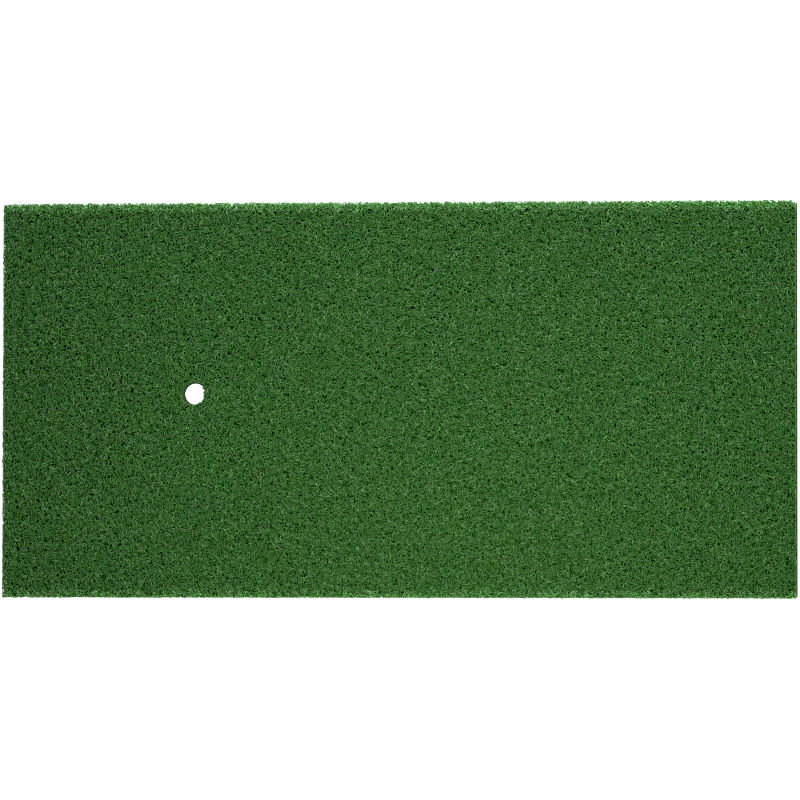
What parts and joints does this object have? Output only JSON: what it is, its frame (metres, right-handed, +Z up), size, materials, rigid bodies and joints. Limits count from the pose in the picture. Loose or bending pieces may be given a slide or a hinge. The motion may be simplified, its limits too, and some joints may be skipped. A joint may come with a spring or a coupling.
{
  "type": "golf hitting mat",
  "caption": "Rectangular artificial-turf hitting mat: short curled green pile on a black cushioned base, with a round through-hole for a rubber tee near its left end.",
  "frame": {"origin": "centre of the underside, on the floor", "axes": "+X along the length, away from the end with the tee hole; +Y across the width; +Z up, out of the turf"},
  "size_m": [0.6, 0.2964, 0.019],
  "materials": {
    "base_rubber": "matte black rubber sheet, ribbed underside",
    "foam": "matte black closed-cell foam, knife-cut edge",
    "latex": "dark latex coat",
    "backing_weave": "flat-tape woven polypropylene, dyed green",
    "turf_yarn": "crimped green synthetic yarn, slight sheen"
  },
  "bodies": {
    "root": {"anti_slip_base": "base_rubber", "foam_pad": "foam", "latex_precoat": "latex", "primary_backing": "backing_weave", "turf_pile": "turf_yarn"}
  },
  "joints": []
}
